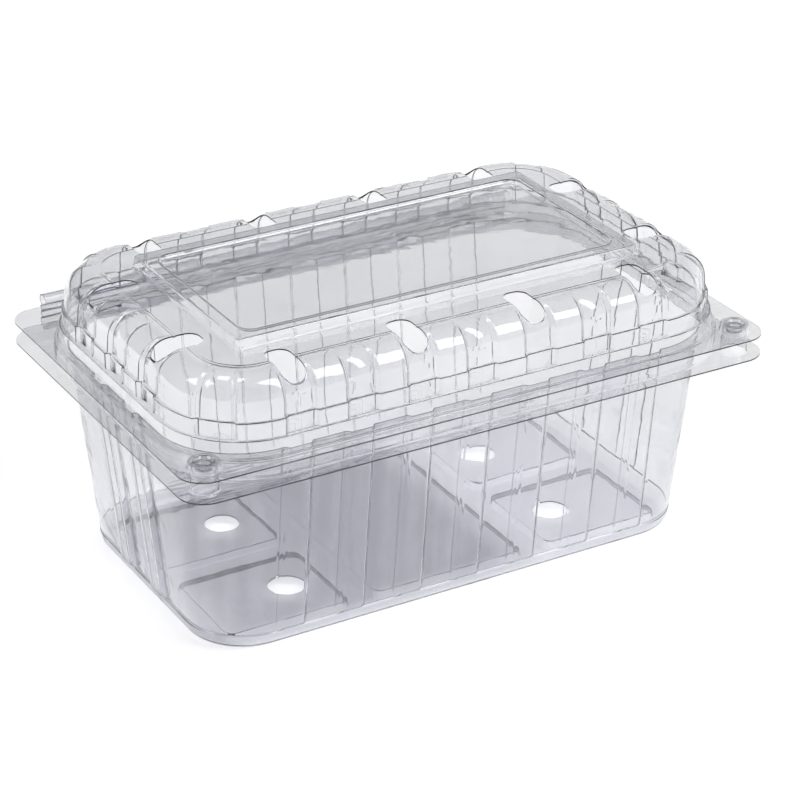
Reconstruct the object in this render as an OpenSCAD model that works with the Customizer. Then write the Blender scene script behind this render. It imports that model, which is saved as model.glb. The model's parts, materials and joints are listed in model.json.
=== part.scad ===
// Clear hinged food container: a ribbed tray and a domed, vented lid, closed.
// Units are millimetres. X runs along the hinge, +Y points to the hinge, +Z is up.
// The origin is under the middle of the closed container, on the plane it stands on.

/* [Sheet and flanges] */
// Thickness of the formed sheet
sheet_t = 0.4; // [0.3:0.05:0.6]
// Length of both flanges, along the hinge
flange_l = 190; // [176:1:215]
// Width of both flanges, from the front edge to the hinge edge
flange_w = 124.4; // [116:0.4:142]
// Corner radius of both flanges
flange_r = 8; // [7:0.25:9]

/* [Tray] */
// Length of the tray at its underside
base_l = 162; // [140:1:163]
// Width of the tray at its underside
base_w = 91.5; // [74:0.5:93]
// Corner radius of the tray at its underside
base_r = 18; // [13:0.5:21]
// How far the walls lean out from the foot to the rim
wall_lean = 7; // [4:0.25:8]
// Height of the foot band around the underside
foot_h = 4.2; // [3:0.2:6]
// How far the foot band stands out from the wall
foot_lip = 0.5; // [0.3:0.05:0.8]
// Bevel where the foot band meets the underside
foot_bevel = 1.4; // [0.8:0.1:2]
// Height of the land that carries the lid
rim_z = 66.7; // [60:0.1:75]
// Height of the land above the tray's flange
land_h = 5.7; // [3:0.1:14]
// Distance from the flange edge to the outer wall of the land
land_inset = 4; // [3:0.25:4.5]

/* [Tray ribs and floor] */
// Width of one wall rib
rib_w = 8.4; // [5:0.2:9.4]
// How far a wall rib stands out
rib_h = 1.2; // [0.6:0.1:1.6]
// Height of the raised floor pads
pad_h = 2.2; // [1.2:0.1:3]
// Margin between the foot and the floor pads
pad_margin = 8; // [6:0.5:11]
// Width of the channels that part the floor pads
channel_w = 9.5; // [6:0.5:13]
// Diameter of the four floor holes
hole_d = 11; // [6:0.5:14]

/* [Lid] */
// Distance from the flange edge to the foot of the dome
dome_inset = 5; // [4.5:0.25:6]
// Corner radius at the foot of the dome
dome_r = 26.6; // [24:0.2:28]
// Height of the lid's lower band
skirt_h = 4.5; // [3:0.25:5]
// Height of the lid's upper band
band_h = 5; // [3.5:0.25:6]
// Height from the upper band to the start of the shoulder
neck_h = 4; // [2:0.25:5]
// Radius of the rounded shoulder
shoulder_r = 7.7; // [5.5:0.1:9]
// Width of each ledge between the bands of the lid
ledge_w = 0.8; // [0.4:0.1:1.2]
// Inward lean of each band of the lid
band_lean = 0.9; // [0.4:0.1:1.2]
// Depth of the flutes in the upper band and the shoulder
flute_d = 0.9; // [0.5:0.1:1.2]
// Width of a flute, as a share of the flute pitch
flute_share = 1; // [0.8:0.02:1.06]
// Margin between the flute pitches of a long side and the corners
flute_margin = 1.3; // [0.6:0.1:3]
// Number of flute pitches along a long side
long_flutes = 13; // [13:4:17]
// Angle of the flute in the middle of each corner
corner_flute_a = 28; // [16:2:40]

/* [Top panel and vents] */
// Distance from the flange edge to the raised top panel
panel_inset = 29; // [26:0.5:32]
// Height of the raised top panel
panel_h = 3; // [1.8:0.2:4]
// Width of the panel's rim
panel_rim = 4.5; // [3:0.5:7]
// Depth of the field inside the panel's rim
panel_drop = 1.2; // [0.8:0.1:1.6]
// Length of a vent, from the shoulder onto the flat top
vent_l = 14.6; // [9:0.2:15]
// Width of a vent, as a share of the flute width
vent_share = 0.8; // [0.6:0.05:0.95]

/* [Snaps and hinge] */
// Diameter of the snap plugs on the tray
snap_d = 8; // [6:0.5:8.5]
// Height of a snap hat above the lid's flange
hat_h = 2.6; // [2:0.1:4]
// Length of the hinge strip
hinge_l = 164; // [130:2:166]
// How far the hinge strip stands out behind the flanges
hinge_out = 5; // [4:0.25:7]
// How far the hinge strip reaches beyond each flange
hinge_reach = 2.6; // [1.6:0.1:4]
// Clearance between the lid and the tray
clearance = 0.3; // [0.2:0.05:0.4]

/* [Hidden] */
$fn = 64;
clear_pet = [0.84, 0.88, 0.91, 0.45];
// Overrun of every cut past the face it goes through
over = sheet_t;
arc_steps = 8;
short_flutes = 6;
vent_round_share = 0.42;
// Distance from the face of a flute to the outer end of its vent
vent_set = 0.6;

// Common axes of the lid's dome and the tray's land
dome_cx = flange_l / 2 - dome_inset - dome_r;
dome_cy = flange_w / 2 - dome_inset - dome_r;
long_pitch = 2 * (dome_cx - flute_margin) / long_flutes;
short_pitch = 2 * dome_cy / short_flutes;
long_flute_w = long_pitch * flute_share;
short_flute_w = short_pitch * flute_share;
// Places of the last flutes along a side, in pitches from its middle
last_long = (long_flutes - 1) / 2;
last_short = short_flutes / 2 - 1;
land_r = dome_r + dome_inset - land_inset;
tray_flange_z = rim_z - land_h;

// Axes of the tray's corners
tray_cx = base_l / 2 - base_r;
tray_cy = base_w / 2 - base_r;

// Heights and radii of the lid, from its foot to its top
lid_z = rim_z + clearance;
lid_flange_z = lid_z + sheet_t;
skirt_z = lid_flange_z + skirt_h;
skirt_r = dome_r - band_lean;
band_z = skirt_z + band_h;
band_r = skirt_r - ledge_w;
neck_r = band_r - ledge_w;
shoulder_z = band_z + neck_h;
shoulder_out = neck_r - band_lean;
corner_pad_a = 45 - corner_flute_a / 2;
top_z = shoulder_z + shoulder_r;
panel_l = flange_l - 2 * panel_inset;
panel_w = flange_w - 2 * panel_inset;

// Snaps sit on the corner axes of the flanges
snap_x = flange_l / 2 - flange_r;
snap_y = flange_w / 2 - flange_r;
hat_r = snap_d / 2 + clearance + sheet_t;

// The fold of the hinge lies midway between the two flanges
fold_z = (tray_flange_z - sheet_t + lid_flange_z) / 2;
hinge_half_h = lid_flange_z - fold_z + hinge_reach;
hinge_corner_r = hinge_out / 2;
// Shift that centres the container and its hinge strip on the origin
centre_y = -hinge_out / 2;

// Floor pads and holes
cross_share = 0.182;
hole_share = 0.3;
floor_cross_x = base_l * cross_share;
pad_x = base_l / 2 - pad_margin;
pad_y = base_w / 2 - pad_margin;
corner_pad_l = pad_x - floor_cross_x - channel_w / 2;
corner_pad_w = pad_y - channel_w / 2;
hole_x = floor_cross_x + channel_w / 2 + corner_pad_l * hole_share;
hole_y = (pad_y + channel_w / 2) / 2;
small_r = channel_w / 4;

// Points of an arc around c
function arc_points(c, r, from, to) =
    [for (i = [0 : arc_steps]) c + r * [cos(from + (to - from) * i / arc_steps),
                                        sin(from + (to - from) * i / arc_steps)]];

// Outline of a rounded rectangle centred on the origin
function round_outline(l, w, r) = concat(
    arc_points([l / 2 - r, w / 2 - r], r, 0, 90),
    arc_points([r - l / 2, w / 2 - r], r, 90, 180),
    arc_points([r - l / 2, r - w / 2], r, 180, 270),
    arc_points([l / 2 - r, r - w / 2], r, 270, 360));

// Mirror image of a half profile, to close it into a full section
function full_section(p, c) = concat(
    [for (q = p) [c + q[0], q[1]]],
    [for (i = [len(p) - 1 : -1 : 0]) [-c - p[i][0], p[i][1]]]);

// Plain block as a half profile
function block_profile(r, z0, z1) = [[0, z0], [r, z0], [r, z1], [0, z1]];

// Half profile of the tray, moved inward by d
function tray_profile(d, z1) = [
    [0, d],
    [base_r - foot_bevel - d / 2, d],
    [base_r - d, foot_bevel + d / 2],
    [base_r + foot_lip - d, foot_h],
    [base_r - d, foot_h + foot_lip],
    [base_r + wall_lean * z1 / rim_z - d, z1],
    [0, z1]];

// Half profile of a tray wall with its rib, which stands on the foot band, moved inward by d
function rib_profile(d, z1) = [
    [0, foot_h + d],
    [base_r - d, foot_h + d],
    [base_r + rib_h + wall_lean * foot_h / rim_z - d, foot_h + rib_h + d],
    [base_r + rib_h + wall_lean * z1 / rim_z - d, z1],
    [0, z1]];

// Half profile above the lower band, moved inward by d, set back by g
function upper_profile(d, g) = concat(
    [[band_r - g - d, band_z - d], [neck_r - g - d, band_z - d]],
    arc_points([shoulder_out - g - shoulder_r, shoulder_z], shoulder_r - d, 0, 90),
    [[0, top_z - d]]);

// Half profile of the dome between its pads, moved inward by d
function dome_profile(d, z0) = concat(
    [[0, z0], [dome_r - d, z0], [skirt_r - d, skirt_z - d], [band_r - flute_d - d, skirt_z - d]],
    upper_profile(d, flute_d));

// Half profile of a pad between two flutes, moved inward by d
function pad_profile(d) = concat(
    [[0, lid_flange_z], [band_r - d, lid_flange_z]],
    upper_profile(d, 0));

// Slice along X from x0 to x1 of a full section, seen in Y and Z
module slice_x(points, x0, x1) {
    translate([x1, 0, 0])
        rotate([90, 0, 90])
            mirror([0, 0, 1])
                linear_extrude(x1 - x0)
                    polygon(points);
}

// Slice along Y from y0 to y1 of a full section, seen in X and Z
module slice_y(points, y0, y1) {
    translate([0, y1, 0])
        rotate([90, 0, 0])
            linear_extrude(y1 - y0)
                polygon(points);
}

// Half profile p carried around a rounded rectangle with corner axes at cx, cy
module carried(p, cx, cy) {
    slice_x(full_section(p, cy), -cx, cx);
    for (side = [0, 1])
        mirror([side, 0, 0])
            translate([cx, 0, 0])
                slice_y(p, -cy, cy);
    for (sx = [0, 1], sy = [0, 1])
        mirror([sx, 0, 0])
            mirror([0, sy, 0])
                translate([cx, cy, 0])
                    rotate_extrude(angle = 90)
                        polygon(p);
}

// Flange plate with its top at z
module flange_plate(z) {
    carried(block_profile(flange_r, z - sheet_t, z), flange_l / 2 - flange_r, flange_w / 2 - flange_r);
}

// Wall of the tray as a solid, moved inward by d and up to z1
module tray_form(d, z1) {
    carried(tray_profile(d, z1), tray_cx, tray_cy);
    for (i = [-3 : 3])
        slice_x(full_section(rib_profile(d, z1), tray_cy),
                2 * i * long_pitch - rib_w / 2 + d, 2 * i * long_pitch + rib_w / 2 - d);
    for (i = [-1, 1])
        slice_y(full_section(rib_profile(d, z1), tray_cx),
                i * short_pitch - rib_w / 2 + d, i * short_pitch + rib_w / 2 - d);
}

// Floor pads as solids under the floor, grown by d
module floor_pads(d) {
    translate([0, 0, -over])
        linear_extrude(over + pad_h + d)
            polygon(round_outline(2 * floor_cross_x - channel_w + 2 * d, 2 * pad_y + 2 * d, small_r + d));
    for (sx = [-1, 1], sy = [-1, 1])
        translate([sx * (pad_x - corner_pad_l / 2), sy * (pad_y - corner_pad_w / 2), -over])
            linear_extrude(over + pad_h + d)
                polygon(round_outline(corner_pad_l + 2 * d, corner_pad_w + 2 * d, small_r + d));
}

// Wall and floor of the tray
module tray_wall() {
    difference() {
        difference() {
            tray_form(0, rim_z);
            floor_pads(0);
        }
        difference() {
            tray_form(sheet_t, rim_z + over);
            floor_pads(sheet_t);
        }
    }
}

// Land and flange around the top of the tray
module tray_rim() {
    difference() {
        union() {
            flange_plate(tray_flange_z);
            carried(block_profile(land_r, tray_flange_z - sheet_t, rim_z), dome_cx, dome_cy);
        }
        carried(block_profile(land_r - sheet_t, tray_flange_z - sheet_t - over, rim_z - sheet_t),
                dome_cx, dome_cy);
        carried(tray_profile(sheet_t / 2, rim_z + over), tray_cx, tray_cy);
    }
}

// Closed hinge strip in section, in Y and Z
module hinge_section() {
    difference() {
        translate([flange_w / 2 - sheet_t + (hinge_out + sheet_t) / 2, fold_z])
            difference() {
                polygon(round_outline(hinge_out + sheet_t, 2 * hinge_half_h, hinge_corner_r));
                polygon(round_outline(hinge_out - sheet_t, 2 * hinge_half_h - 2 * sheet_t,
                                      hinge_corner_r - sheet_t));
            }
        translate([flange_w / 2 - sheet_t - over, tray_flange_z])
            square([sheet_t + 2 * over, lid_z - tray_flange_z]);
    }
}

// Half of the hinge strip: below the fold for side -1, above it for side 1
module hinge_half(side) {
    translate([-hinge_l / 2, 0, 0])
        rotate([90, 0, 90])
            linear_extrude(hinge_l)
                intersection() {
                    hinge_section();
                    translate([flange_w / 2, fold_z + side * (clearance / 2 + hinge_half_h)])
                        square([flange_w, 2 * hinge_half_h], center = true);
                }
}

module tray() {
    color(clear_pet)
        translate([0, centre_y, 0])
            difference() {
                union() {
                    tray_wall();
                    tray_rim();
                    hinge_half(-1);
                    for (side = [-1, 1])
                        translate([side * snap_x, -snap_y, tray_flange_z - sheet_t])
                            cylinder(d = snap_d, h = lid_flange_z + hat_h / 2 - tray_flange_z);
                }
                for (side = [-1, 1])
                    translate([side * snap_x, -snap_y, tray_flange_z - sheet_t - over])
                        cylinder(d = snap_d - 2 * sheet_t,
                                 h = lid_flange_z + hat_h / 2 - tray_flange_z - sheet_t + over);
                for (sx = [-1, 1], sy = [-1, 1])
                    translate([sx * hole_x, sy * hole_y, -over])
                        cylinder(d = hole_d, h = pad_h + sheet_t + 2 * over);
            }
}

// Dome of the lid as a solid, moved inward by d
module dome_form(d, z0) {
    turn = d / neck_r * 180 / PI;
    long_start = last_long * long_pitch + long_flute_w / 2 + d;
    short_start = last_short * short_pitch + short_flute_w / 2 + d;
    carried(dome_profile(d, z0), dome_cx, dome_cy);
    for (i = [-last_long : 2 : last_long - 2])
        slice_x(full_section(pad_profile(d), dome_cy),
                i * long_pitch + long_flute_w / 2 + d, (i + 2) * long_pitch - long_flute_w / 2 - d);
    for (i = [-last_short : 2 : last_short - 2])
        slice_y(full_section(pad_profile(d), dome_cx),
                i * short_pitch + short_flute_w / 2 + d, (i + 2) * short_pitch - short_flute_w / 2 - d);
    for (sx = [0, 1], sy = [0, 1])
        mirror([sx, 0, 0])
            mirror([0, sy, 0]) {
                translate([0, dome_cy, 0])
                    slice_x(pad_profile(d), long_start, dome_cx);
                translate([dome_cx, 0, 0])
                    slice_y(pad_profile(d), short_start, dome_cy);
                translate([dome_cx, dome_cy, 0])
                    for (turned = [0, 1])
                        rotate([0, 0, 90 * turned])
                            mirror([0, turned, 0])
                                rotate_extrude(angle = corner_pad_a - turn)
                                    polygon(pad_profile(d));
            }
}

// Raised top panel as a solid with its field let in, moved inward by d
module panel_form(d) {
    difference() {
        translate([0, 0, top_z - shoulder_r])
            linear_extrude(shoulder_r + panel_h - d)
                polygon(round_outline(panel_l - 2 * d, panel_w - 2 * d, sheet_t * 3 - d));
        translate([0, 0, top_z + panel_h - panel_drop - d])
            linear_extrude(panel_drop + over)
                polygon(round_outline(panel_l - 2 * panel_rim + 2 * d, panel_w - 2 * panel_rim + 2 * d,
                                      panel_rim + d));
    }
}

// One vent cut, down through a shoulder whose corner axes are c from the middle of the lid
module vent_cut(c, width) {
    translate([0, vent_l / 2 + vent_set + flute_d - c - shoulder_out, shoulder_z])
        linear_extrude(shoulder_r + over)
            polygon(round_outline(width, vent_l, width * vent_round_share));
}

module vents() {
    for (side = [0, 1])
        mirror([0, side, 0])
            for (i = [-6, -2, 2, 6])
                translate([i * long_pitch, 0, 0])
                    vent_cut(dome_cy, long_flute_w * vent_share);
    for (side = [0, 1])
        mirror([side, 0, 0])
            for (i = [-last_short, last_short])
                translate([0, i * short_pitch, 0])
                    rotate([0, 0, 90])
                        vent_cut(dome_cx, short_flute_w * vent_share);
}

module lid() {
    color(clear_pet)
        translate([0, centre_y, 0])
            difference() {
                union() {
                    flange_plate(lid_flange_z);
                    dome_form(0, lid_z);
                    panel_form(0);
                    hinge_half(1);
                    for (side = [-1, 1])
                        translate([side * snap_x, -snap_y, lid_z])
                            cylinder(r = hat_r, h = sheet_t + hat_h);
                }
                dome_form(sheet_t, lid_z - over);
                panel_form(sheet_t);
                for (side = [-1, 1])
                    translate([side * snap_x, -snap_y, lid_z - over])
                        cylinder(r = hat_r - sheet_t, h = over + hat_h);
                vents();
            }
}

tray();
lid();
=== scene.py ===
"""Clear hinged food container: a ribbed tray and a domed, vented lid, formed from one PET sheet.

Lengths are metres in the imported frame: X runs along the hinge, +Y points to the hinge, +Z is up.
"""

import json
import math
from collections import namedtuple

import bmesh
import bpy
from bpy.props import FloatProperty, FloatVectorProperty, IntProperty, PointerProperty, StringProperty
from mathutils import Matrix, Vector


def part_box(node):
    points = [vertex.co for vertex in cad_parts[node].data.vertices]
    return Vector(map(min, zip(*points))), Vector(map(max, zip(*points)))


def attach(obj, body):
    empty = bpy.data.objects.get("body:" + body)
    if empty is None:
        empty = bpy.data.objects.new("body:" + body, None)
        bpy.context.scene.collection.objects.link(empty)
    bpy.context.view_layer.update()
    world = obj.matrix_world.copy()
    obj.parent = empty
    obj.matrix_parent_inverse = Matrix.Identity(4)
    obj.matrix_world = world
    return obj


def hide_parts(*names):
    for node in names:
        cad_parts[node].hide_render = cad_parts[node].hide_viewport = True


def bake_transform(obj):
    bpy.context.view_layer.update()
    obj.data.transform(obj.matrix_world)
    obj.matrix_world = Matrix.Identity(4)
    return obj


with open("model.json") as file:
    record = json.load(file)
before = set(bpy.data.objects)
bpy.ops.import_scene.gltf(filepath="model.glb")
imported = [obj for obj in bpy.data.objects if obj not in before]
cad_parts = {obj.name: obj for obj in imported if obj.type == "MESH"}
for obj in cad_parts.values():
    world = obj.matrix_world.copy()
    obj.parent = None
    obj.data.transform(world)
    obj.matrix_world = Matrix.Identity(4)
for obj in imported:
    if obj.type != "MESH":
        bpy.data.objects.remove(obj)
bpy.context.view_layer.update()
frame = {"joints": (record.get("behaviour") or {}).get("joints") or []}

bl_info = {
    "name": "Clear hinged food container",
    "version": (1, 0, 0),
    "blender": (4, 5, 0),
    "location": "View3D > Sidebar > Food container",
    "description": "Builds a formed PET tray and lid with their hinge, and a plain studio stage",
    "category": "Object",
}

MM = 0.001
FLOOR_GAP = 0.3 * MM
TRAY_LOW, TRAY_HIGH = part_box("tray")
LID_LOW, LID_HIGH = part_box("lid")
HINGE_AXIS = Vector(frame["joints"][0]["pos_m"])


def length(name, description, millimetres):
    """A length that a user may change, given in millimetres and kept in metres."""
    return FloatProperty(name=name, description=description, default=millimetres * MM,
                         precision=5, unit="LENGTH")


def share(name, description, value):
    """A plain number from 0 to 1 that a user may change."""
    return FloatProperty(name=name, description=description, default=value, min=0.0, max=1.0,
                         subtype="FACTOR")


def hex_colour(name, description, value):
    """A colour that a user may change, as an sRGB hex value."""
    return StringProperty(name=name, description=description, default=value)


class SheetSizes(bpy.types.PropertyGroup):
    """The formed sheet and the flanges that the tray and the lid share."""

    thickness: length("Sheet", "Thickness of the formed sheet", 0.4)
    bend_r: length("Bend radius", "Radius of the sheet where it bends over the tool", 0.46)
    soft_r: length("Soft bend radius", "Radius of the sheet over a rounded edge of the tool", 0.7)
    guard: length("Bend margin", "Flat strip kept beside each bend", 0.3)
    flange_l: length("Flange length", "Length of both flanges", (LID_HIGH.x - LID_LOW.x) / MM)
    flange_w: length("Flange width", "Width of both flanges", 124.4)
    flange_r: length("Flange corner", "Corner radius of both flanges", 8)
    snap_d: length("Snap plug", "Diameter of the snap plugs on the tray", 8)
    snap_gap: length("Snap clearance", "Clearance between a snap hat and its plug", 0.3)
    hat_h: length("Snap hat", "Height of a snap hat above the flange of the lid", 2.6)


class TraySizes(bpy.types.PropertyGroup):
    """The tray: floor, foot, ribbed wall, land and flange."""

    base_l: length("Base length", "Length of the tray at its underside", 162)
    base_w: length("Base width", "Width of the tray at its underside", 91.5)
    base_r: length("Base corner", "Corner radius of the tray at its underside", 18)
    wall_lean: length("Wall lean", "How far the walls lean out from the foot to the land", 7)
    foot_h: length("Foot height", "Height of the foot band", 4.2)
    foot_lip: length("Foot lip", "How far the foot band stands out from the wall", 0.5)
    foot_bevel: length("Foot bevel", "Bevel where the foot meets the underside", 1.4)
    rim_z: length("Land height", "Height of the land that carries the lid", 66.7)
    land_h: length("Land rise", "Height of the land above the tray's flange", 5.7)
    land_inset: length("Land inset", "Distance from the flange edge to the land", 4)
    rib_w: length("Rib width", "Width of one wall rib", 8.4)
    rib_h: length("Rib height", "How far a wall rib stands out", 1.2)
    rib_slope: length("Rib slope", "Width over which the side of a rib rises", 1.2)
    rib_groove: share("Rib groove", "Depth of the groove beside a rib as a share of the rib's height", 0.18)
    long_ribs: IntProperty(name="Long ribs", description="Ribs on each long side", default=7)
    short_ribs: IntProperty(name="Short ribs", description="Ribs on each short side", default=2)
    pad_h: length("Pad height", "Height of the raised floor pads", 2.2)
    pad_margin: length("Pad margin", "Margin between the foot and the floor pads", 8)
    channel_w: length("Channel width", "Width of the channels that part the floor pads", 9.5)
    hole_d: length("Hole diameter", "Diameter of the four floor holes", 11)
    cross_share: share("Cross channels", "Place of the cross channels along the base", 0.182)
    hole_share: share("Hole place", "Place of the holes along a corner pad", 0.3)


class LidSizes(bpy.types.PropertyGroup):
    """The lid: flange, banded dome with a fluted shoulder, raised panel and vents."""

    flange_z: length("Lid flange height", "Height of the top of the lid's flange", 67.4)
    dome_inset: length("Dome inset", "Distance from the flange edge to the foot of the dome", 5)
    dome_r: length("Dome corner", "Corner radius at the foot of the dome", 26.6)
    skirt_h: length("Lower band", "Height of the lower band", 4.5)
    band_h: length("Upper band", "Height of the upper band", 5)
    neck_h: length("Neck", "Height from the upper band to the start of the shoulder", 4)
    shoulder_r: length("Shoulder", "Radius of the rounded shoulder", 7.7)
    ledge_w: length("Ledge", "Width of each ledge between the bands", 0.8)
    band_lean: length("Band lean", "Inward lean of each band", 0.9)
    flute_d: length("Flute depth", "Depth of the flutes in the upper band and the shoulder", 0.9)
    flute_share: share("Flute width", "Width of a flute as a share of the flute pitch", 1.0)
    flute_slope: length("Flute slope", "Width over which the side of a flute rises", 0.9)
    flute_groove: share("Flute groove", "Depth of the groove beside a pad as a share of the flute", 0.28)
    flute_margin: length("Flute margin", "Margin between the flutes of a long side and the corners", 1.3)
    long_flutes: IntProperty(name="Long flutes", description="Flute pitches along a long side", default=13)
    short_flutes: IntProperty(name="Short flutes", description="Flute pitches along a short side", default=6)
    corner_pad_a: FloatProperty(name="Corner pad", description="Angle of each proud pad of a corner",
                                default=math.radians(31), subtype="ANGLE")
    crest_w: length("Crest line width", "Width of the line where the shoulder meets the flat top", 0.9)
    crest_d: length("Crest line depth", "Depth of the line where the shoulder meets the flat top", 0.25)
    panel_inset: length("Panel inset", "Distance from the flange edge to the raised panel", 29)
    panel_h: length("Panel height", "Height of the raised panel", 3)
    panel_r: length("Panel corner", "Corner radius of the raised panel", 1.6)
    panel_rim: length("Panel rim", "Width of the panel's rim", 4.5)
    panel_drop: length("Panel field", "Depth of the field inside the panel's rim", 1.2)
    vent_l: length("Vent length", "Length of a vent, from the shoulder onto the flat top", 14.6)
    vent_set: length("Vent set", "Distance from the face of a flute to the outer end of its vent", 0.6)
    vent_share: share("Vent width", "Width of a vent as a share of the flute width", 0.8)
    vent_round_share: share("Vent corner", "Corner radius of a vent as a share of its width", 0.42)
    vent_spacing: IntProperty(name="Vent spacing", description="Flute pitches from vent to vent", default=4)
    long_vents: IntProperty(name="Long vents", description="Vents along a long side", default=4)
    short_vents: IntProperty(name="Short vents", description="Vents along a short side", default=2)


class HingeSizes(bpy.types.PropertyGroup):
    """The pleated strip along the back that joins the flanges."""

    strip_l: length("Strip length", "Length of the hinge strip", 164)
    reach: length("Strip reach", "How far the strip reaches beyond each flange", 2.6)
    turn_r: length("Strip turn", "Radius of the strip's turns", 2.3)
    pleats: IntProperty(name="Pleats", description="Number of pleats in the strip", default=3)
    pleat_d: length("Pleat depth", "Depth of a pleat", 1.4)


class Finish(bpy.types.PropertyGroup):
    """Colours and gloss of the sheet, and the light of the stage."""

    clear: hex_colour("Clear sheet", "Tint of the thin clear sheet", "#fefefe")
    thick: hex_colour("Thick sheet", "Tint where the sheet stays thicker", "#f4f5f8")
    # Painted shade: this grey tints the base where shade falls, darkest in the middle of its length and
    # lighter towards the ends
    base: hex_colour("Thick base", "Tint of the base, where the sheet was drawn least", "#c3c4ca")
    body: hex_colour("Body", "Colour that light takes on inside the sheet", "#c6c6cb")
    body_density: FloatProperty(name="Body density", description="Absorption per metre of sheet",
                                default=370.0)
    crease_density: FloatProperty(name="Crease density", description="Absorption per metre of creased sheet",
                                  default=800.0)
    floor: hex_colour("Floor", "Colour of the studio floor", "#f2f2f2")
    ior: FloatProperty(name="IOR", description="Refractive index of PET", default=1.575)
    gloss_low: share("Least roughness", "Roughness of the smoothest sheet", 0.01)
    gloss_high: share("Most roughness", "Roughness of scuffed sheet", 0.05)
    wave: length("Wave size", "Size of the waves in the formed sheet", 14)
    wave_depth: length("Wave depth", "Depth of the waves in the formed sheet", 0.25)
    crease: length("Crease size", "Width of the creases along the flanges and the hinge", 7)
    crease_depth: length("Crease depth", "Depth of those creases", 0.3)
    crease_stretch: FloatProperty(name="Crease stretch", description="Length of a crease over its width",
                                  default=7)
    # Shade of the base is the light that the base lets through to its shadow on the floor, masked like the
    # painted shade of its tint
    shade_floor: hex_colour("Shade of the base", "Light that the thick base lets through", "#b8b9c1")
    shade_sheet: hex_colour("Shade of the sheet", "Light that the drawn sheet lets through", "#f8f8fa")
    key_light: FloatProperty(name="Key light", description="Radiance of the strip softbox", default=4.0)
    fill_light: FloatProperty(name="Fill light", description="Radiance of the square softbox", default=3.2)
    top_light: FloatProperty(name="Top light", description="Radiance of the softbox overhead", default=4.0)
    floor_glow: share("Floor glow", "Part of the floor's white that no shadow takes away", 0.5)
    lens: FloatProperty(name="Lens", description="Focal length of the camera in millimetres", default=126.35)
    eye: FloatVectorProperty(name="Eye", description="Place of the camera", unit="LENGTH",
                             default=(-0.37196, -0.65532, 0.42178))
    target: FloatVectorProperty(name="Target", description="Place that the camera looks at", unit="LENGTH",
                                default=(0.0, -0.0025, 0.045))
    shift: FloatVectorProperty(name="Shift", description="Shift of the picture frame", size=2,
                               default=(0.01696, -0.0097))


# Rings of points round rounded rectangles

Station = namedtuple("Station", "axis out proud")
BEND_STEPS = 4
BEND_FINE_R = 4 * MM
CORNER_STEP = math.radians(6)
SIDE_STEP = 6 * MM
CIRCLE_STEPS = 32

# Places across a slope, in slope widths from its middle. The groove lies just outside the slope's foot.
SLOPE_HALF = 0.5
GROOVE_PLACE = 0.85
GROOVE_HALF = 0.35
SLOPE_MARKS = (-1.2, -0.85, -0.5, -0.25, 0.0, 0.25, 0.5, 0.85, 1.2)


def ease(t):
    """Smooth step from 0 to 1."""
    t = min(max(t, 0.0), 1.0)
    return t * t * (3 - 2 * t)


def places(low, high, bands, slope, step):
    """Places from low to high, close together over the slope at each end of a band."""
    marks = {low, high}
    for edge in (e for band in bands for e in band):
        marks.update(edge + slope * mark for mark in SLOPE_MARKS)
    marks = sorted(m for m in marks if low <= m <= high)
    filled = []
    for a, b in zip(marks, marks[1:]):
        count = math.ceil((b - a) / step)
        filled += [a + (b - a) * k / count for k in range(count)]
    return filled + [high]


def rise(t, groove):
    """Height of a slope that starts with a narrow groove, at t slope widths from its middle."""
    return ease(t + SLOPE_HALF) - groove * ease(1 - abs(t + GROOVE_PLACE) / GROOVE_HALF)


def proud_at(place, bands, slope, groove):
    """How proud the surface is at a place: 1 on a band, 0 away from it, below 0 in the groove at its foot."""
    heights = [min(rise((place - a) / slope, groove), rise((b - place) / slope, groove)) for a, b in bands]
    return max(heights, key=abs, default=0.0)


def stations_round(cx, cy, slope=1.0, groove=0.0, long_bands=(), short_bands=(),
                   corner_bands=(), corner_slope=1.0):
    """Stations once round a rounded rectangle whose corner axes are at (+-cx, +-cy).

    A band is a stretch that stands proud, as places along a side or as angles from the short side.
    """
    stations = []
    for quarter in range(4):
        turn = Matrix.Rotation(math.pi / 2 * quarter, 2)
        is_long = quarter % 2 == 1
        half, reach = (cx, cy) if is_long else (cy, cx)
        bands = long_bands if is_long else short_bands
        out = turn @ Vector((1, 0))
        for place in places(-half, half, bands, slope, SIDE_STEP):
            proud = proud_at(place, bands, slope, groove)
            stations.append(Station(turn @ Vector((reach, place)), out, proud))
        corner = turn @ Vector((reach, half))
        ways = places(0.0, math.pi / 2, corner_bands, corner_slope, CORNER_STEP)[1:-1]
        for way in reversed(ways) if is_long else ways:
            angle = math.pi / 2 - way if is_long else way
            out = turn @ Vector((math.cos(angle), math.sin(angle)))
            stations.append(Station(corner, out, proud_at(way, corner_bands, corner_slope, groove)))
    return stations


def circle_stations():
    """Stations round a plain circle."""
    turns = [2 * math.pi * k / CIRCLE_STEPS for k in range(CIRCLE_STEPS)]
    return [Station(Vector((0, 0)), Vector((math.cos(a), math.sin(a))), 0.0) for a in turns]


def rounded_path(corners):
    """Points of a path through corners (out, up, radius), with an arc at each corner that has a radius."""
    points = []
    for i, (out, up, radius) in enumerate(corners):
        here = Vector((out, up))
        if not radius:
            points.append(here)
            continue
        before = (Vector(corners[i - 1][:2]) - here).normalized()
        after = (Vector(corners[i + 1][:2]) - here).normalized()
        half = before.angle(after) / 2
        centre = here + (before + after).normalized() * (radius / math.sin(half))
        arm = here + before * (radius / math.tan(half)) - centre
        end = here + after * (radius / math.tan(half)) - centre
        sweep = arm.angle_signed(end)
        count = max(BEND_STEPS, round(BEND_STEPS * radius / BEND_FINE_R))
        points += [centre + Matrix.Rotation(-sweep * k / count, 2) @ arm for k in range(count + 1)]
    return points


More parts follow.
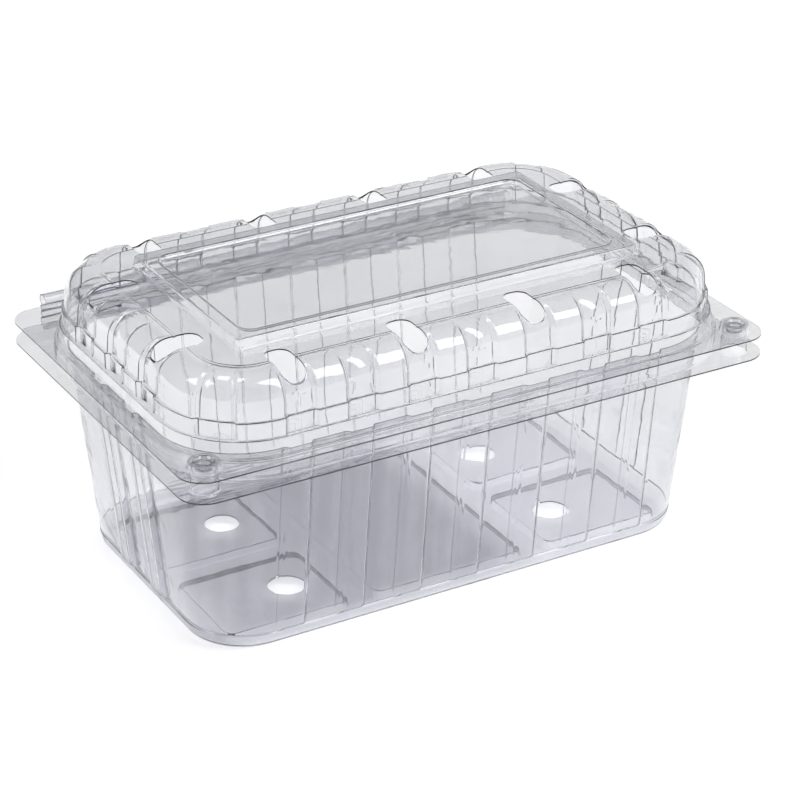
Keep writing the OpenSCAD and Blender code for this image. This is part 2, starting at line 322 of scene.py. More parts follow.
def rings_round(stations, plain, proud=None, middle=(0.0, 0.0)):
    """One ring of points round the stations for each point of the plain path and its proud twin."""
    proud = proud or plain
    rings = []
    for low, high in zip(plain, proud):
        ring = []
        for s in stations:
            p = low.lerp(high, s.proud)
            ring.append(Vector((middle[0] + s.axis.x + s.out.x * p.x,
                                middle[1] + s.axis.y + s.out.y * p.x, p.y)))
        rings.append(ring)
    return rings


# Bmesh building blocks

SLIVER = 0.01 * MM
CRISP_ANGLE = math.radians(38)


def loft(bm, rings):
    """A wall through closed rings of points. Returns the edges of its first and last ring."""
    order = bm.verts.layers.int.get("order") or bm.verts.layers.int.new("order")
    ring = bmesh.ops.create_circle(bm, segments=len(rings[0]), radius=1.0)["verts"]
    for i, (vert, point) in enumerate(zip(ring, rings[0])):
        vert.co = point
        vert[order] = i
    first = last = list(dict.fromkeys(edge for vert in ring for edge in vert.link_edges))
    for points in rings[1:]:
        made = bmesh.ops.extrude_edge_only(bm, edges=last)["geom"]
        new = {g for g in made if isinstance(g, bmesh.types.BMVert)}
        for vert in new:
            vert.co = points[vert[order]]
        last = [g for g in made if isinstance(g, bmesh.types.BMEdge) and new.issuperset(g.verts)]
    return first, last


def fill(bm, *loops):
    """Fills the flat region between closed loops of edges, and joins each sliver to the face beside it."""
    edges = [edge for loop in loops for edge in loop]
    made = bmesh.ops.triangle_fill(bm, use_beauty=True, use_dissolve=False, edges=edges)
    seams = set()
    for face in (g for g in made["geom"] if isinstance(g, bmesh.types.BMFace)):
        longest = max(face.edges, key=lambda edge: edge.calc_length())
        if face.calc_area() < SLIVER * longest.calc_length():
            seams.add(longest)
    bmesh.ops.dissolve_edges(bm, edges=list(seams), use_verts=False)


def sheet_object(name, bm, thickness):
    """Makes the object of a formed sheet from its upper face, with the sheet's thickness below it."""
    bmesh.ops.recalc_face_normals(bm, faces=bm.faces)
    top = max(bm.faces, key=lambda face: face.calc_center_median().z)
    if top.normal.z < 0:
        bmesh.ops.reverse_faces(bm, faces=bm.faces)
    mesh = bpy.data.meshes.new(name)
    bm.to_mesh(mesh)
    bm.free()
    piece = bpy.data.objects.new(name, mesh)
    bpy.context.scene.collection.objects.link(piece)
    sheet = piece.modifiers.new("Sheet", "SOLIDIFY")
    sheet.thickness = thickness
    sheet.offset = -1
    sheet.use_even_offset = True
    sheet.use_quality_normals = True
    return piece


def bake_modifiers(piece):
    """Replaces the mesh of a piece by what its modifiers make of it."""
    graph = bpy.context.evaluated_depsgraph_get()
    mesh = bpy.data.meshes.new_from_object(piece.evaluated_get(graph))
    if not mesh.polygons:
        raise RuntimeError(f"{piece.name} came out empty")
    piece.modifiers.clear()
    piece.data = mesh


def shade(piece, material):
    """Smooth shading with crisp cut edges, and the piece's material."""
    piece.data.shade_smooth()
    piece.data.set_sharp_from_angle(angle=CRISP_ANGLE)
    piece.data.materials.clear()
    piece.data.materials.append(material)


# Layout shared by the pieces

Layout = namedtuple("Layout", "middle dome_cx dome_cy long_pitch short_pitch snap_x snap_y"
                    " tray_cx tray_cy tray_flange_z")

# The crown of a stud: its bend as a share of the sheet's bend, the radii of its dimple as shares of
# the stud's radius, and the dimple's depth as a share of the hat's height
CROWN_BEND_SHARE = 1.6
DIMPLE_RIM_SHARE = 0.6
DIMPLE_FOOT_SHARE = 0.45
DIMPLE_MIDDLE_SHARE = 0.2
DIMPLE_DEPTH_SHARE = 0.3


def layout():
    """Axes, radii and places that follow from the sizes."""
    scene = bpy.context.scene
    sheet, tray, lid = scene.container_sheet, scene.container_tray, scene.container_lid
    middle_y = LID_LOW.y + sheet.flange_w / 2
    dome_cx = sheet.flange_l / 2 - lid.dome_inset - lid.dome_r
    dome_cy = sheet.flange_w / 2 - lid.dome_inset - lid.dome_r
    return Layout(
        middle=(0.0, middle_y),
        dome_cx=dome_cx,
        dome_cy=dome_cy,
        long_pitch=2 * (dome_cx - lid.flute_margin) / lid.long_flutes,
        short_pitch=2 * dome_cy / lid.short_flutes,
        snap_x=sheet.flange_l / 2 - sheet.flange_r,
        snap_y=middle_y - sheet.flange_w / 2 + sheet.flange_r,
        tray_cx=tray.base_l / 2 - tray.base_r,
        tray_cy=tray.base_w / 2 - tray.base_r,
        tray_flange_z=tray.rim_z - tray.land_h,
    )


def flange_edge(bm, sheet, place, z):
    """The outer edge of a flange, as a loop."""
    stations = stations_round(sheet.flange_l / 2 - sheet.flange_r, sheet.flange_w / 2 - sheet.flange_r)
    return loft(bm, rings_round(stations, [Vector((sheet.flange_r, z))], middle=place.middle))[0]


def studs(bm, sheet, place, radius, low, high):
    """Two hollow studs at the front corners of a flange. Returns the loops at their feet."""
    dimple = high - sheet.hat_h * DIMPLE_DEPTH_SHARE
    path = rounded_path([
        (radius + sheet.bend_r + sheet.guard, low, 0),
        (radius, low, sheet.bend_r),
        (radius - sheet.guard, high, sheet.bend_r * CROWN_BEND_SHARE),
        (radius * DIMPLE_RIM_SHARE, high, sheet.bend_r),
        (radius * DIMPLE_FOOT_SHARE, dimple, sheet.bend_r),
        (radius * DIMPLE_MIDDLE_SHARE, dimple, 0),
    ])
    feet = []
    for side in (-1, 1):
        middle = (side * place.snap_x, place.snap_y)
        foot, crown = loft(bm, rings_round(circle_stations(), path, middle=middle))
        fill(bm, crown)
        feet.append(foot)
    return feet


# Materials

# Octaves of the patterns, waves over which the tint changes, and reach of the creases from the fold's height
WAVE_DETAIL = 2.0
CREASE_DETAIL = 2.0
DRAW_DETAIL = 1.0
DRAW_WAVES = 2
CREASED_REACH = 4.2 * MM

# Painted shade in the base: heights and places near its front edge between which the grey tint comes in, and
# stops (place, level) along its length, darkest in the middle, lighter to the left and lightest to the right
BASE_CLEAR_Z = 6 * MM
BASE_TINT_Z = 3 * MM
FRONT_CLEAR_Y = -46 * MM
FRONT_TINT_Y = -38 * MM
PAINTED_BASE_SHADE = ((0.08, 0.4), (0.16, 0.85), (0.36, 0.9), (0.4, 1.0), (0.58, 1.0), (0.66, 0.3), (0.92, 0.2))


def linear(hex_value):
    """Linear RGBA of an sRGB hex value."""
    parts = [int(hex_value[i:i + 2], 16) / 255 for i in (1, 3, 5)]
    return tuple(c / 12.92 if c <= 0.04045 else ((c + 0.055) / 1.055) ** 2.4 for c in parts) + (1.0,)


def scale_of(size):
    """Texture scale at which a pattern repeats about once in a given length."""
    return 1.0 / size


def add_node(tree, kind, values=None, links=None, stops=(), **settings):
    """Adds a node: settings are its own properties, values fill its sockets and links feed them.

    The stops (place, level) are those of a grey ramp.
    """
    node = tree.nodes.new(kind)
    for name, value in settings.items():
        setattr(node, name, value)
    for socket, value in (values or {}).items():
        node.inputs[socket].default_value = value
    for socket, source in (links or {}).items():
        tree.links.new(source, node.inputs[socket])
    if stops:
        ramp = node.color_ramp.elements
        ramp.remove(ramp[-1])
        ramp[0].position = stops[0][0]
        for i, (place, level) in enumerate(stops):
            stop = ramp.new(place) if i else ramp[0]
            stop.color = (level, level, level, 1)
    return node


def clear_pet(name, density):
    """Thermoformed PET: water-clear and glossy, so the eye finds it by its darker edges and small highlights.

    The sheet has faint waves where it was drawn over the tool and long creases in the flanges beside the
    fold.
    The grey tint in the base is painted shade, darkest in the middle of its length. Light passes through it
    to the floor.
    """
    finish = bpy.context.scene.container_finish
    material = bpy.data.materials.new(name)
    material.use_nodes = True
    tree = material.node_tree
    tree.nodes.clear()
    place = add_node(tree, "ShaderNodeTexCoord").outputs["Object"]
    along, across, height = add_node(tree, "ShaderNodeSeparateXYZ", None, {"Vector": place}).outputs
    waves = add_node(tree, "ShaderNodeTexNoise",
                     {"Scale": scale_of(finish.wave), "Detail": WAVE_DETAIL}, {"Vector": place})
    waved = add_node(tree, "ShaderNodeBump", {"Strength": 1.0, "Distance": finish.wave_depth},
                     {"Height": waves.outputs["Fac"]})
    stretched = add_node(tree, "ShaderNodeMapping", {"Scale": (1 / finish.crease_stretch, 1, 1)},
                         {"Vector": place})
    creases = add_node(tree, "ShaderNodeTexNoise",
                       {"Scale": scale_of(finish.crease), "Detail": CREASE_DETAIL},
                       {"Vector": stretched.outputs["Vector"]})
    near_fold = add_node(tree, "ShaderNodeMath", {1: HINGE_AXIS.z, 2: CREASED_REACH}, {0: height},
                         operation="COMPARE")
    bump = add_node(tree, "ShaderNodeBump", {"Distance": finish.crease_depth},
                    {"Height": creases.outputs["Fac"], "Strength": near_fold.outputs[0],
                     "Normal": waved.outputs["Normal"]})
    drawn = add_node(tree, "ShaderNodeTexNoise",
                     {"Scale": scale_of(DRAW_WAVES * finish.wave), "Detail": DRAW_DETAIL}, {"Vector": place})
    plain = add_node(tree, "ShaderNodeMix", {6: linear(finish.clear), 7: linear(finish.thick)},
                     {0: drawn.outputs["Fac"]}, data_type="RGBA")
    # Painted shade mask: low in the tray, back from its front edge, darkest in the middle of its length; it
    # greys the base's tint
    low = add_node(tree, "ShaderNodeMapRange", {"From Min": BASE_CLEAR_Z, "From Max": BASE_TINT_Z},
                   {"Value": height})
    front = add_node(tree, "ShaderNodeMapRange", {"From Min": FRONT_CLEAR_Y, "From Max": FRONT_TINT_Y},
                     {"Value": across})
    share_x = add_node(tree, "ShaderNodeMapRange", {"From Min": TRAY_LOW.x, "From Max": TRAY_HIGH.x},
                       {"Value": along})
    shade_along = add_node(tree, "ShaderNodeValToRGB", None, {"Fac": share_x.outputs["Result"]}, PAINTED_BASE_SHADE)
    flat = add_node(tree, "ShaderNodeMath", None, {0: low.outputs["Result"], 1: front.outputs["Result"]},
                    operation="MULTIPLY")
    base_shade = add_node(tree, "ShaderNodeMath", None, {0: flat.outputs[0], 1: shade_along.outputs["Color"]},
                       operation="MULTIPLY")
    tint = add_node(tree, "ShaderNodeMix", {7: linear(finish.base)},
                    {0: base_shade.outputs[0], 6: plain.outputs[2]}, data_type="RGBA")
    scuffs = add_node(tree, "ShaderNodeMapRange", {"To Min": finish.gloss_low, "To Max": finish.gloss_high},
                      {"Value": waves.outputs["Fac"]})
    pet = add_node(tree, "ShaderNodeBsdfPrincipled",
                   {"Transmission Weight": 1.0, "IOR": finish.ior, "Metallic": 0.0},
                   {"Base Color": tint.outputs[2], "Roughness": scuffs.outputs["Result"],
                    "Normal": bump.outputs["Normal"]})
    # The same painted shade mask darkens the light that the base lets through to the floor
    cast = add_node(tree, "ShaderNodeMix", {6: linear(finish.shade_sheet), 7: linear(finish.shade_floor)},
                    {0: base_shade.outputs[0]}, data_type="RGBA")
    passed = add_node(tree, "ShaderNodeBsdfTransparent", None, {"Color": cast.outputs[2]})
    rays = add_node(tree, "ShaderNodeLightPath")
    sheet = add_node(tree, "ShaderNodeMixShader", None,
                     {0: rays.outputs["Is Shadow Ray"], 1: pet.outputs[0], 2: passed.outputs[0]})
    body = add_node(tree, "ShaderNodeVolumeAbsorption",
                    {"Color": linear(finish.body), "Density": density})
    add_node(tree, "ShaderNodeOutputMaterial", None,
             {"Surface": sheet.outputs[0], "Volume": body.outputs[0]})
    return material


def formed_pet():
    """The sheet as it comes off the tool, made once."""
    name = "Clear PET, thermoformed"
    finish = bpy.context.scene.container_finish
    return bpy.data.materials.get(name) or clear_pet(name, finish.body_density)


def creased_pet():
    """The sheet of the hinge, which creasing has made denser to look through, made once."""
    name = "Clear PET, creased at the hinge"
    finish = bpy.context.scene.container_finish
    return bpy.data.materials.get(name) or clear_pet(name, finish.crease_density)


# Operators

# Steps up the tray's wall, and the bend at the foot of a band as a share of the sheet's bend
WALL_STEPS = 8
LEDGE_BEND_SHARE = 0.35


class CONTAINER_OT_tray(bpy.types.Operator):
    """Build the formed tray"""

    bl_idname = "container.tray"
    bl_label = "Tray"

    def execute(self, context):
        scene = context.scene
        sheet, tray, lid = scene.container_sheet, scene.container_tray, scene.container_lid
        place = layout()
        bm = bmesh.new()
        floor_edge, wall_top = self.wall(bm, sheet, tray, place)
        pads = self.pads(bm, sheet, tray, place)
        fill(bm, floor_edge, *pads)
        land_r = lid.dome_r + lid.dome_inset - tray.land_inset
        land = rounded_path([
            (land_r - sheet.soft_r - sheet.guard, tray.rim_z, 0),
            (land_r, tray.rim_z, sheet.soft_r),
            (land_r, place.tray_flange_z, sheet.bend_r),
            (land_r + sheet.bend_r + sheet.guard, place.tray_flange_z, 0),
        ])
        stations = stations_round(place.dome_cx, place.dome_cy)
        land_top, land_foot = loft(bm, rings_round(stations, land, middle=place.middle))
        fill(bm, wall_top, land_top)
        plugs = studs(bm, sheet, place, sheet.snap_d / 2, place.tray_flange_z,
                      lid.flange_z + sheet.hat_h / 2 - sheet.thickness)
        fill(bm, land_foot, flange_edge(bm, sheet, place, place.tray_flange_z), *plugs)
        piece = sheet_object("tray_sheet", bm, sheet.thickness)
        bake_modifiers(piece)
        shade(piece, formed_pet())
        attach(piece, "tray")
        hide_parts("tray")
        return {"FINISHED"}

    def wall(self, bm, sheet, tray, place):
        """The foot and the ribbed wall, by the face that the food touches. Returns its end loops."""
        t = sheet.thickness
        top_r = tray.base_r + tray.wall_lean - t
        corners = [
            (tray.base_r - tray.foot_bevel - t / 2 - sheet.bend_r - sheet.guard, t, 0),
            (tray.base_r - tray.foot_bevel - t / 2, t, sheet.bend_r),
            (tray.base_r - t, tray.foot_bevel + t / 2, sheet.bend_r),
            (tray.base_r + tray.foot_lip - t, tray.foot_h, sheet.bend_r / 2),
            (tray.base_r - t, tray.foot_h + tray.foot_lip, sheet.bend_r / 2),
        ]
        rib_foot = tray.foot_h + tray.foot_lip + tray.rib_h
        for k in range(WALL_STEPS):
            z = rib_foot + (tray.rim_z - rib_foot) * k / WALL_STEPS
            corners.append((tray.base_r + tray.wall_lean * z / tray.rim_z - t, z, 0))
        corners += [
            (top_r, tray.rim_z, sheet.bend_r),
            (top_r + sheet.bend_r + sheet.guard, tray.rim_z, 0),
        ]
        plain = rounded_path(corners)

        def ribbed(p):
            """The point of a rib, which stands on the foot band, in front of a point of the plain wall."""
            lift = (p.y - tray.foot_h) / (rib_foot - tray.foot_h)
            return p + Vector((tray.rib_h * min(max(lift, 0.0), 1.0), 0))

        def ribs(count, pitch):
            """The ribs of a side, two flute pitches apart."""
            half = tray.rib_w / 2 - t
            middles = [(2 * k - count + 1) * pitch for k in range(count)]
            return [(middle - half, middle + half) for middle in middles]

        stations = stations_round(place.tray_cx, place.tray_cy, tray.rib_slope, tray.rib_groove,
                                  long_bands=ribs(tray.long_ribs, place.long_pitch),
                                  short_bands=ribs(tray.short_ribs, place.short_pitch))
        return loft(bm, rings_round(stations, plain, [ribbed(p) for p in plain], place.middle))

    def pads(self, bm, sheet, tray, place):
        """The raised floor pads, with a hole in each corner pad. Returns the loops at their feet."""
        t = sheet.thickness
        cross_x = tray.base_l * tray.cross_share
        pad_x = tray.base_l / 2 - tray.pad_margin
        pad_y = tray.base_w / 2 - tray.pad_margin
        corner_l = pad_x - cross_x - tray.channel_w / 2
        corner_w = pad_y - tray.channel_w / 2
        small_r = tray.channel_w / 4
        boxes = [(0.0, 0.0, 2 * cross_x - tray.channel_w, 2 * pad_y)]
        boxes += [(sx * (pad_x - corner_l / 2), sy * (pad_y - corner_w / 2), corner_l, corner_w)
                  for sx in (-1, 1) for sy in (-1, 1)]
        hole_x = cross_x + tray.channel_w / 2 + corner_l * tray.hole_share
        hole_y = (pad_y + tray.channel_w / 2) / 2
        low, high = t, tray.pad_h + t
        feet = []
        for x, y, box_l, box_w in boxes:
            path = rounded_path([
                (small_r + t + sheet.bend_r + 2 * sheet.guard, low, 0),
                (small_r + t + sheet.guard, low, sheet.bend_r),
                (small_r + t, high, sheet.bend_r),
                (small_r + t - sheet.bend_r - sheet.guard, high, 0),
            ])
            stations = stations_round(box_l / 2 - small_r, box_w / 2 - small_r)
            foot, crown = loft(bm, rings_round(stations, path, middle=(x, y + place.middle[1])))
            rims = []
            is_corner = x != 0
            if is_corner:
                hole = (math.copysign(hole_x, x), math.copysign(hole_y, y) + place.middle[1])
                ring = rings_round(circle_stations(), [Vector((tray.hole_d / 2, high))], middle=hole)
                rims.append(loft(bm, ring)[0])
            fill(bm, crown, *rims)
            feet.append(foot)
        return feet


class CONTAINER_OT_lid(bpy.types.Operator):
    """Build the formed lid with its vents"""

    bl_idname = "container.lid"
    bl_label = "Lid"

    def execute(self, context):
        scene = context.scene
        sheet, lid, place = scene.container_sheet, scene.container_lid, layout()
        shoulder_out = lid.dome_r - 2 * lid.band_lean - 2 * lid.ledge_w
        shoulder_z = lid.flange_z + lid.skirt_h + lid.band_h + lid.neck_h
        bm = bmesh.new()
        foot, crown = self.dome(bm, sheet, lid, place, shoulder_out, shoulder_z)
        hats = studs(bm, sheet, place, sheet.snap_d / 2 + sheet.snap_gap + sheet.thickness, lid.flange_z,
                     lid.flange_z + sheet.hat_h)
        fill(bm, foot, flange_edge(bm, sheet, place, lid.flange_z), *hats)
        self.panel(bm, sheet, lid, place, crown, shoulder_z + lid.shoulder_r)
        piece = sheet_object("lid_sheet", bm, sheet.thickness)
        punch = self.vents(lid, place, shoulder_out - lid.flute_d - lid.vent_set, shoulder_z)
        cut = piece.modifiers.new("Vents", "BOOLEAN")
        cut.object = punch
        cut.solver = "EXACT"
        bake_modifiers(piece)
        bpy.data.objects.remove(punch)
        shade(piece, formed_pet())
        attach(piece, "lid")
        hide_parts("lid")
        return {"FINISHED"}

    def dome(self, bm, sheet, lid, place, shoulder_out, shoulder_z):
        """The banded dome and its fluted shoulder, by its outer face. Returns its end loops."""
        skirt_r = lid.dome_r - lid.band_lean
        band_r = skirt_r - lid.ledge_w
        neck_r = band_r - lid.ledge_w
        skirt_z = lid.flange_z + lid.skirt_h
        band_z = skirt_z + lid.band_h
        top_z = shoulder_z + lid.shoulder_r
        small = sheet.bend_r * LEDGE_BEND_SHARE
        crest_r = shoulder_out - lid.shoulder_r - 2 * lid.flute_d

        def path(back):
            """The outer path with its upper band and shoulder set back, up to the crest line."""
            return rounded_path([
                (lid.dome_r + sheet.bend_r + sheet.guard, lid.flange_z, 0),
                (lid.dome_r, lid.flange_z, sheet.bend_r),
                (skirt_r, skirt_z, sheet.bend_r),
                (band_r - back, skirt_z, small),
                (band_r - back, band_z, sheet.bend_r),
                (neck_r - back, band_z, small),
                (shoulder_out - back, top_z, lid.shoulder_r),
                (crest_r, top_z, 0),
                (crest_r - lid.crest_w / 2, top_z - lid.crest_d, small),
                (crest_r - lid.crest_w, top_z, 0),
                (crest_r - lid.crest_w - sheet.guard, top_z, 0),
            ])

        def pads(pitch, last):
            """The pads along a side, between flutes whose last one lies some pitches from the middle."""
            half = pitch * lid.flute_share / 2
            return [(i * pitch + half, (i + 2) * pitch - half) for i in range(-last - 2, last + 1, 2)]

        stations = stations_round(
            place.dome_cx, place.dome_cy, lid.flute_slope, lid.flute_groove,
            long_bands=pads(place.long_pitch, lid.long_flutes // 2),
            short_bands=pads(place.short_pitch, lid.short_flutes // 2 - 1),
            corner_bands=[(-math.pi, lid.corner_pad_a), (math.pi / 2 - lid.corner_pad_a, math.pi)],
            corner_slope=lid.flute_slope / shoulder_out)
        return loft(bm, rings_round(stations, path(lid.flute_d), path(0.0), place.middle))

    def panel(self, bm, sheet, lid, place, crown, top_z):
        """The raised panel with its sunk field, closing the top of the dome."""
        half_l = sheet.flange_l / 2 - lid.panel_inset
        half_w = sheet.flange_w / 2 - lid.panel_inset
        high = top_z + lid.panel_h
        side = rounded_path([
            (lid.panel_r + sheet.soft_r + 2 * sheet.guard, top_z, 0),
            (lid.panel_r + sheet.guard, top_z, sheet.soft_r),
            (lid.panel_r, high, sheet.soft_r),
            (lid.panel_r - sheet.soft_r - sheet.guard, high, 0),
        ])
        stations = stations_round(half_l - lid.panel_r, half_w - lid.panel_r)
        foot, edge = loft(bm, rings_round(stations, side, middle=place.middle))
        fill(bm, crown, foot)
        low = high - lid.panel_drop
        step = rounded_path([
            (lid.panel_rim + sheet.bend_r + sheet.guard, high, 0),
            (lid.panel_rim, high, sheet.bend_r),
            (lid.panel_rim - 2 * sheet.guard, low, sheet.bend_r),
            (lid.panel_rim - sheet.bend_r - 3 * sheet.guard, low, 0),
        ])
        stations = stations_round(half_l - 2 * lid.panel_rim, half_w - 2 * lid.panel_rim)
        rim, field = loft(bm, rings_round(stations, step, middle=place.middle))
        fill(bm, edge, rim)
        fill(bm, field)

    def vents(self, lid, place, outer_r, low_z):
        """Punches for the vents, down through the shoulder, as one object."""
        bm = bmesh.new()
        for side in range(4):
            is_long = side % 2 == 0
            pitch = place.long_pitch if is_long else place.short_pitch
            reach = place.dome_cy if is_long else place.dome_cx
            count = lid.long_vents if is_long else lid.short_vents
            width = pitch * lid.flute_share * lid.vent_share
            radius = width * lid.vent_round_share
            stations = stations_round(width / 2 - radius, lid.vent_l / 2 - radius)
            high_z = low_z + 2 * lid.shoulder_r
            rings = rings_round(stations, [Vector((radius, low_z)), Vector((radius, high_z))])
            turn = Matrix.Rotation(math.pi / 2 * side, 4, "Z")
            for k in range(count):
                pitches = (k - (count - 1) / 2) * lid.vent_spacing
                spot = Matrix.Translation((pitches * pitch, lid.vent_l / 2 - reach - outer_r, 0.0))
                moved = Matrix.Translation((*place.middle, 0.0)) @ turn @ spot
                low, high = loft(bm, [[moved @ p for p in ring] for ring in rings])
                fill(bm, low)
                fill(bm, high)
        bmesh.ops.recalc_face_normals(bm, faces=bm.faces)
        mesh = bpy.data.meshes.new("vent_punch")
        bm.to_mesh(mesh)
        bm.free()
        punch = bpy.data.objects.new("vent_punch", mesh)
        bpy.context.scene.collection.objects.link(punch)
        return punch


class CONTAINER_OT_hinge(bpy.types.Operator):
    """Build the pleated hinge strip"""

    bl_idname = "container.hinge"
    bl_label = "Hinge strip"

    def execute(self, context):
        scene = context.scene
        sheet, lid, hinge = scene.container_sheet, scene.container_lid, scene.container_hinge
        place = layout()
        t = sheet.thickness
        near = LID_LOW.y + sheet.flange_w
        far = LID_HIGH.y
        low = place.tray_flange_z - t - hinge.reach
        high = lid.flange_z + hinge.reach
        pitch = (lid.flange_z - place.tray_flange_z) / hinge.pleats
        corners = [
            (near, place.tray_flange_z - t / 2, 0),
            (near, low, hinge.turn_r),
            (far, low, hinge.turn_r),
        ]
        for k in range(hinge.pleats):
            z = place.tray_flange_z + pitch * (k + 0.5)
            corners += [(far, z - pitch / 2, 0), (far - hinge.pleat_d, z, sheet.bend_r)]
        corners += [
            (far, lid.flange_z, 0),
            (far, high, hinge.turn_r),
            (near, high, hinge.turn_r),
            (near, lid.flange_z - t / 2, 0),
        ]
        path = rounded_path(corners)
        bm = bmesh.new()
        chain = [bm.verts.new((-hinge.strip_l / 2, p.x, p.y)) for p in path]
        edges = [bm.edges.new(pair) for pair in zip(chain, chain[1:])]
        made = bmesh.ops.extrude_edge_only(bm, edges=edges)["geom"]
        bmesh.ops.translate(bm, verts=[g for g in made if isinstance(g, bmesh.types.BMVert)],
                            vec=(hinge.strip_l, 0, 0))
        piece = sheet_object("hinge_web", bm, t)
        bake_modifiers(piece)
        shade(piece, creased_pet())
        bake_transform(piece)
        return {"FINISHED"}


# Light through many clear walls, and a wide floor that glows whiter from near the container to far from it
CLEAR_BOUNCES = 32
GLOSS_BOUNCES = 8
FLOOR_HALF = 20.0
GLOW_NEAR = 0.15
GLOW_FAR = 0.6

# The studio's light by height, as stops, and from the dark left to the pale right
STUDIO_UP = ((0.0, 0.95), (0.3, 0.65), (0.5, 0.16), (1.0, 0.05))
STUDIO_LEFT_X = -0.7
STUDIO_RIGHT_X = 0.5
STUDIO_LEFT_LEVEL = 0.1

Softbox = namedtuple("Softbox", "name spot width depth")
STRIP_BOX = Softbox("Strip softbox", (0.5, -0.7, 1.1), 0.45, 1.2)
SQUARE_BOX = Softbox("Square softbox", (-0.85, 0.2, 1.0), 0.6, 0.54)
OVERHEAD_BOX = Softbox("Overhead softbox", (-0.15, 0.15, 1.35), 0.4, 0.4)


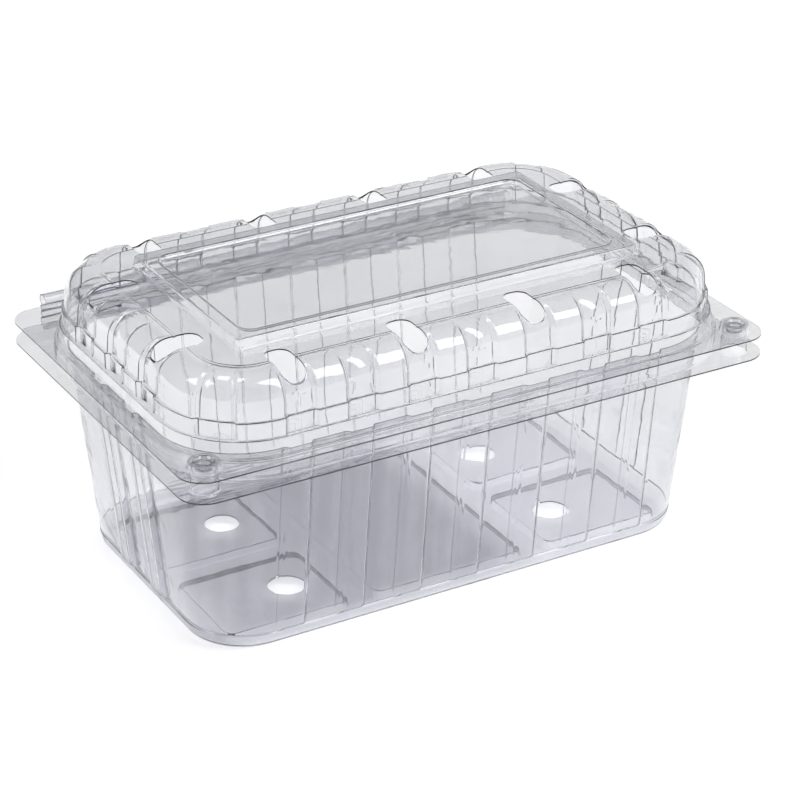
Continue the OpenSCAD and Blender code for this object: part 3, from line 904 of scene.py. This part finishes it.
class CONTAINER_OT_stage(bpy.types.Operator):
    """Build the floor, the lights and the camera"""

    bl_idname = "container.stage"
    bl_label = "Stage"

    def execute(self, context):
        scene = context.scene
        finish = scene.container_finish
        scene.view_settings.view_transform = "Standard"
        scene.cycles.max_bounces = CLEAR_BOUNCES
        scene.cycles.transmission_bounces = CLEAR_BOUNCES
        scene.cycles.glossy_bounces = GLOSS_BOUNCES
        scene.cycles.transparent_max_bounces = CLEAR_BOUNCES
        self.floor(scene, finish)
        self.world(scene)
        self.softbox(scene, finish, STRIP_BOX, finish.key_light)
        self.softbox(scene, finish, SQUARE_BOX, finish.fill_light)
        self.softbox(scene, finish, OVERHEAD_BOX, finish.top_light)
        self.camera(scene, finish)
        return {"FINISHED"}

    def floor(self, scene, finish):
        """A matt pale floor: it shows as plain white, whiter with distance, and keeps the object's shadow."""
        bm = bmesh.new()
        bmesh.ops.create_grid(bm, x_segments=1, y_segments=1, size=FLOOR_HALF)
        bmesh.ops.translate(bm, verts=bm.verts, vec=(0, 0, -FLOOR_GAP))
        mesh = bpy.data.meshes.new("floor")
        bm.to_mesh(mesh)
        bm.free()
        floor = bpy.data.objects.new("floor", mesh)
        scene.collection.objects.link(floor)
        material = bpy.data.materials.new("Studio floor, matt white")
        material.use_nodes = True
        tree = material.node_tree
        tree.nodes.clear()
        matt = add_node(tree, "ShaderNodeBsdfDiffuse", {"Color": linear(finish.floor)})
        rays = add_node(tree, "ShaderNodeLightPath")
        seen = add_node(tree, "ShaderNodeMath", None,
                        {0: rays.outputs["Is Camera Ray"], 1: rays.outputs["Is Transmission Ray"]},
                        operation="MAXIMUM")
        shown = add_node(tree, "ShaderNodeMath", None,
                         {0: seen.outputs[0], 1: rays.outputs["Is Glossy Ray"]}, operation="MAXIMUM")
        place = add_node(tree, "ShaderNodeTexCoord").outputs["Object"]
        reach = add_node(tree, "ShaderNodeVectorMath", None, {0: place}, operation="LENGTH")
        white = add_node(tree, "ShaderNodeMapRange",
                         {"From Min": GLOW_NEAR, "From Max": GLOW_FAR, "To Min": finish.floor_glow},
                         {"Value": reach.outputs["Value"]})
        level = add_node(tree, "ShaderNodeMath", None, {0: shown.outputs[0], 1: white.outputs["Result"]},
                         operation="MULTIPLY")
        glow = add_node(tree, "ShaderNodeEmission", {"Color": (1, 1, 1, 1)}, {"Strength": level.outputs[0]})
        both = add_node(tree, "ShaderNodeAddShader", None, {0: matt.outputs[0], 1: glow.outputs[0]})
        add_node(tree, "ShaderNodeOutputMaterial", None, {"Surface": both.outputs[0]})
        mesh.materials.append(material)

    def world(self, scene):
        """A studio that is pale near the floor and on the right, and dark above and on the left."""
        world = bpy.data.worlds.new("Studio")
        scene.world = world
        world.use_nodes = True
        tree = world.node_tree
        tree.nodes.clear()
        way = add_node(tree, "ShaderNodeTexCoord").outputs["Generated"]
        split = add_node(tree, "ShaderNodeSeparateXYZ", None, {"Vector": way})
        up = add_node(tree, "ShaderNodeValToRGB", None, {"Fac": split.outputs["Z"]}, STUDIO_UP)
        side = add_node(tree, "ShaderNodeMapRange",
                        {"From Min": STUDIO_LEFT_X, "From Max": STUDIO_RIGHT_X, "To Min": STUDIO_LEFT_LEVEL},
                        {"Value": split.outputs["X"]})
        glow = add_node(tree, "ShaderNodeBackground", None,
                        {"Color": up.outputs["Color"], "Strength": side.outputs["Result"]})
        add_node(tree, "ShaderNodeOutputWorld", None, {"Surface": glow.outputs[0]})

    def softbox(self, scene, finish, box, radiance):
        """A large soft light that faces the container."""
        light = bpy.data.lights.new(box.name, "AREA")
        light.shape = "RECTANGLE"
        light.size = box.width
        light.size_y = box.depth
        light.energy = radiance * math.pi * box.width * box.depth
        lamp = bpy.data.objects.new(box.name, light)
        lamp.location = box.spot
        aim = Vector(finish.target) - Vector(box.spot)
        lamp.rotation_euler = aim.to_track_quat("-Z", "Y").to_euler()
        scene.collection.objects.link(lamp)

    def camera(self, scene, finish):
        """The camera at the viewing angle of the picture."""
        camera = bpy.data.objects.new("Camera", bpy.data.cameras.new("Camera"))
        camera.data.lens = finish.lens
        camera.data.shift_x, camera.data.shift_y = finish.shift
        camera.location = finish.eye
        aim = Vector(finish.target) - Vector(finish.eye)
        camera.rotation_euler = aim.to_track_quat("-Z", "Y").to_euler()
        scene.collection.objects.link(camera)
        scene.camera = camera


class CONTAINER_PT_panel(bpy.types.Panel):
    """Lists the pieces of the container"""

    bl_idname = "CONTAINER_PT_panel"
    bl_label = "Food container"
    bl_space_type = "VIEW_3D"
    bl_region_type = "UI"
    bl_category = "Food container"

    def draw(self, context):
        for operator in OPERATORS:
            self.layout.operator(operator.bl_idname)


GROUPS = {
    "container_sheet": SheetSizes,
    "container_tray": TraySizes,
    "container_lid": LidSizes,
    "container_hinge": HingeSizes,
    "container_finish": Finish,
}
OPERATORS = (CONTAINER_OT_stage, CONTAINER_OT_tray, CONTAINER_OT_lid, CONTAINER_OT_hinge)


def register():
    for name, group in GROUPS.items():
        bpy.utils.register_class(group)
        setattr(bpy.types.Scene, name, PointerProperty(type=group))
    for cls in (*OPERATORS, CONTAINER_PT_panel):
        bpy.utils.register_class(cls)


def unregister():
    for cls in (CONTAINER_PT_panel, *reversed(OPERATORS)):
        bpy.utils.unregister_class(cls)
    for name, group in reversed(GROUPS.items()):
        delattr(bpy.types.Scene, name)
        bpy.utils.unregister_class(group)


def main():
    """Builds the container on its stage."""
    register()
    bpy.ops.container.stage()
    bpy.ops.container.tray()
    bpy.ops.container.lid()
    bpy.ops.container.hinge()


if __name__ == "__main__":
    main()
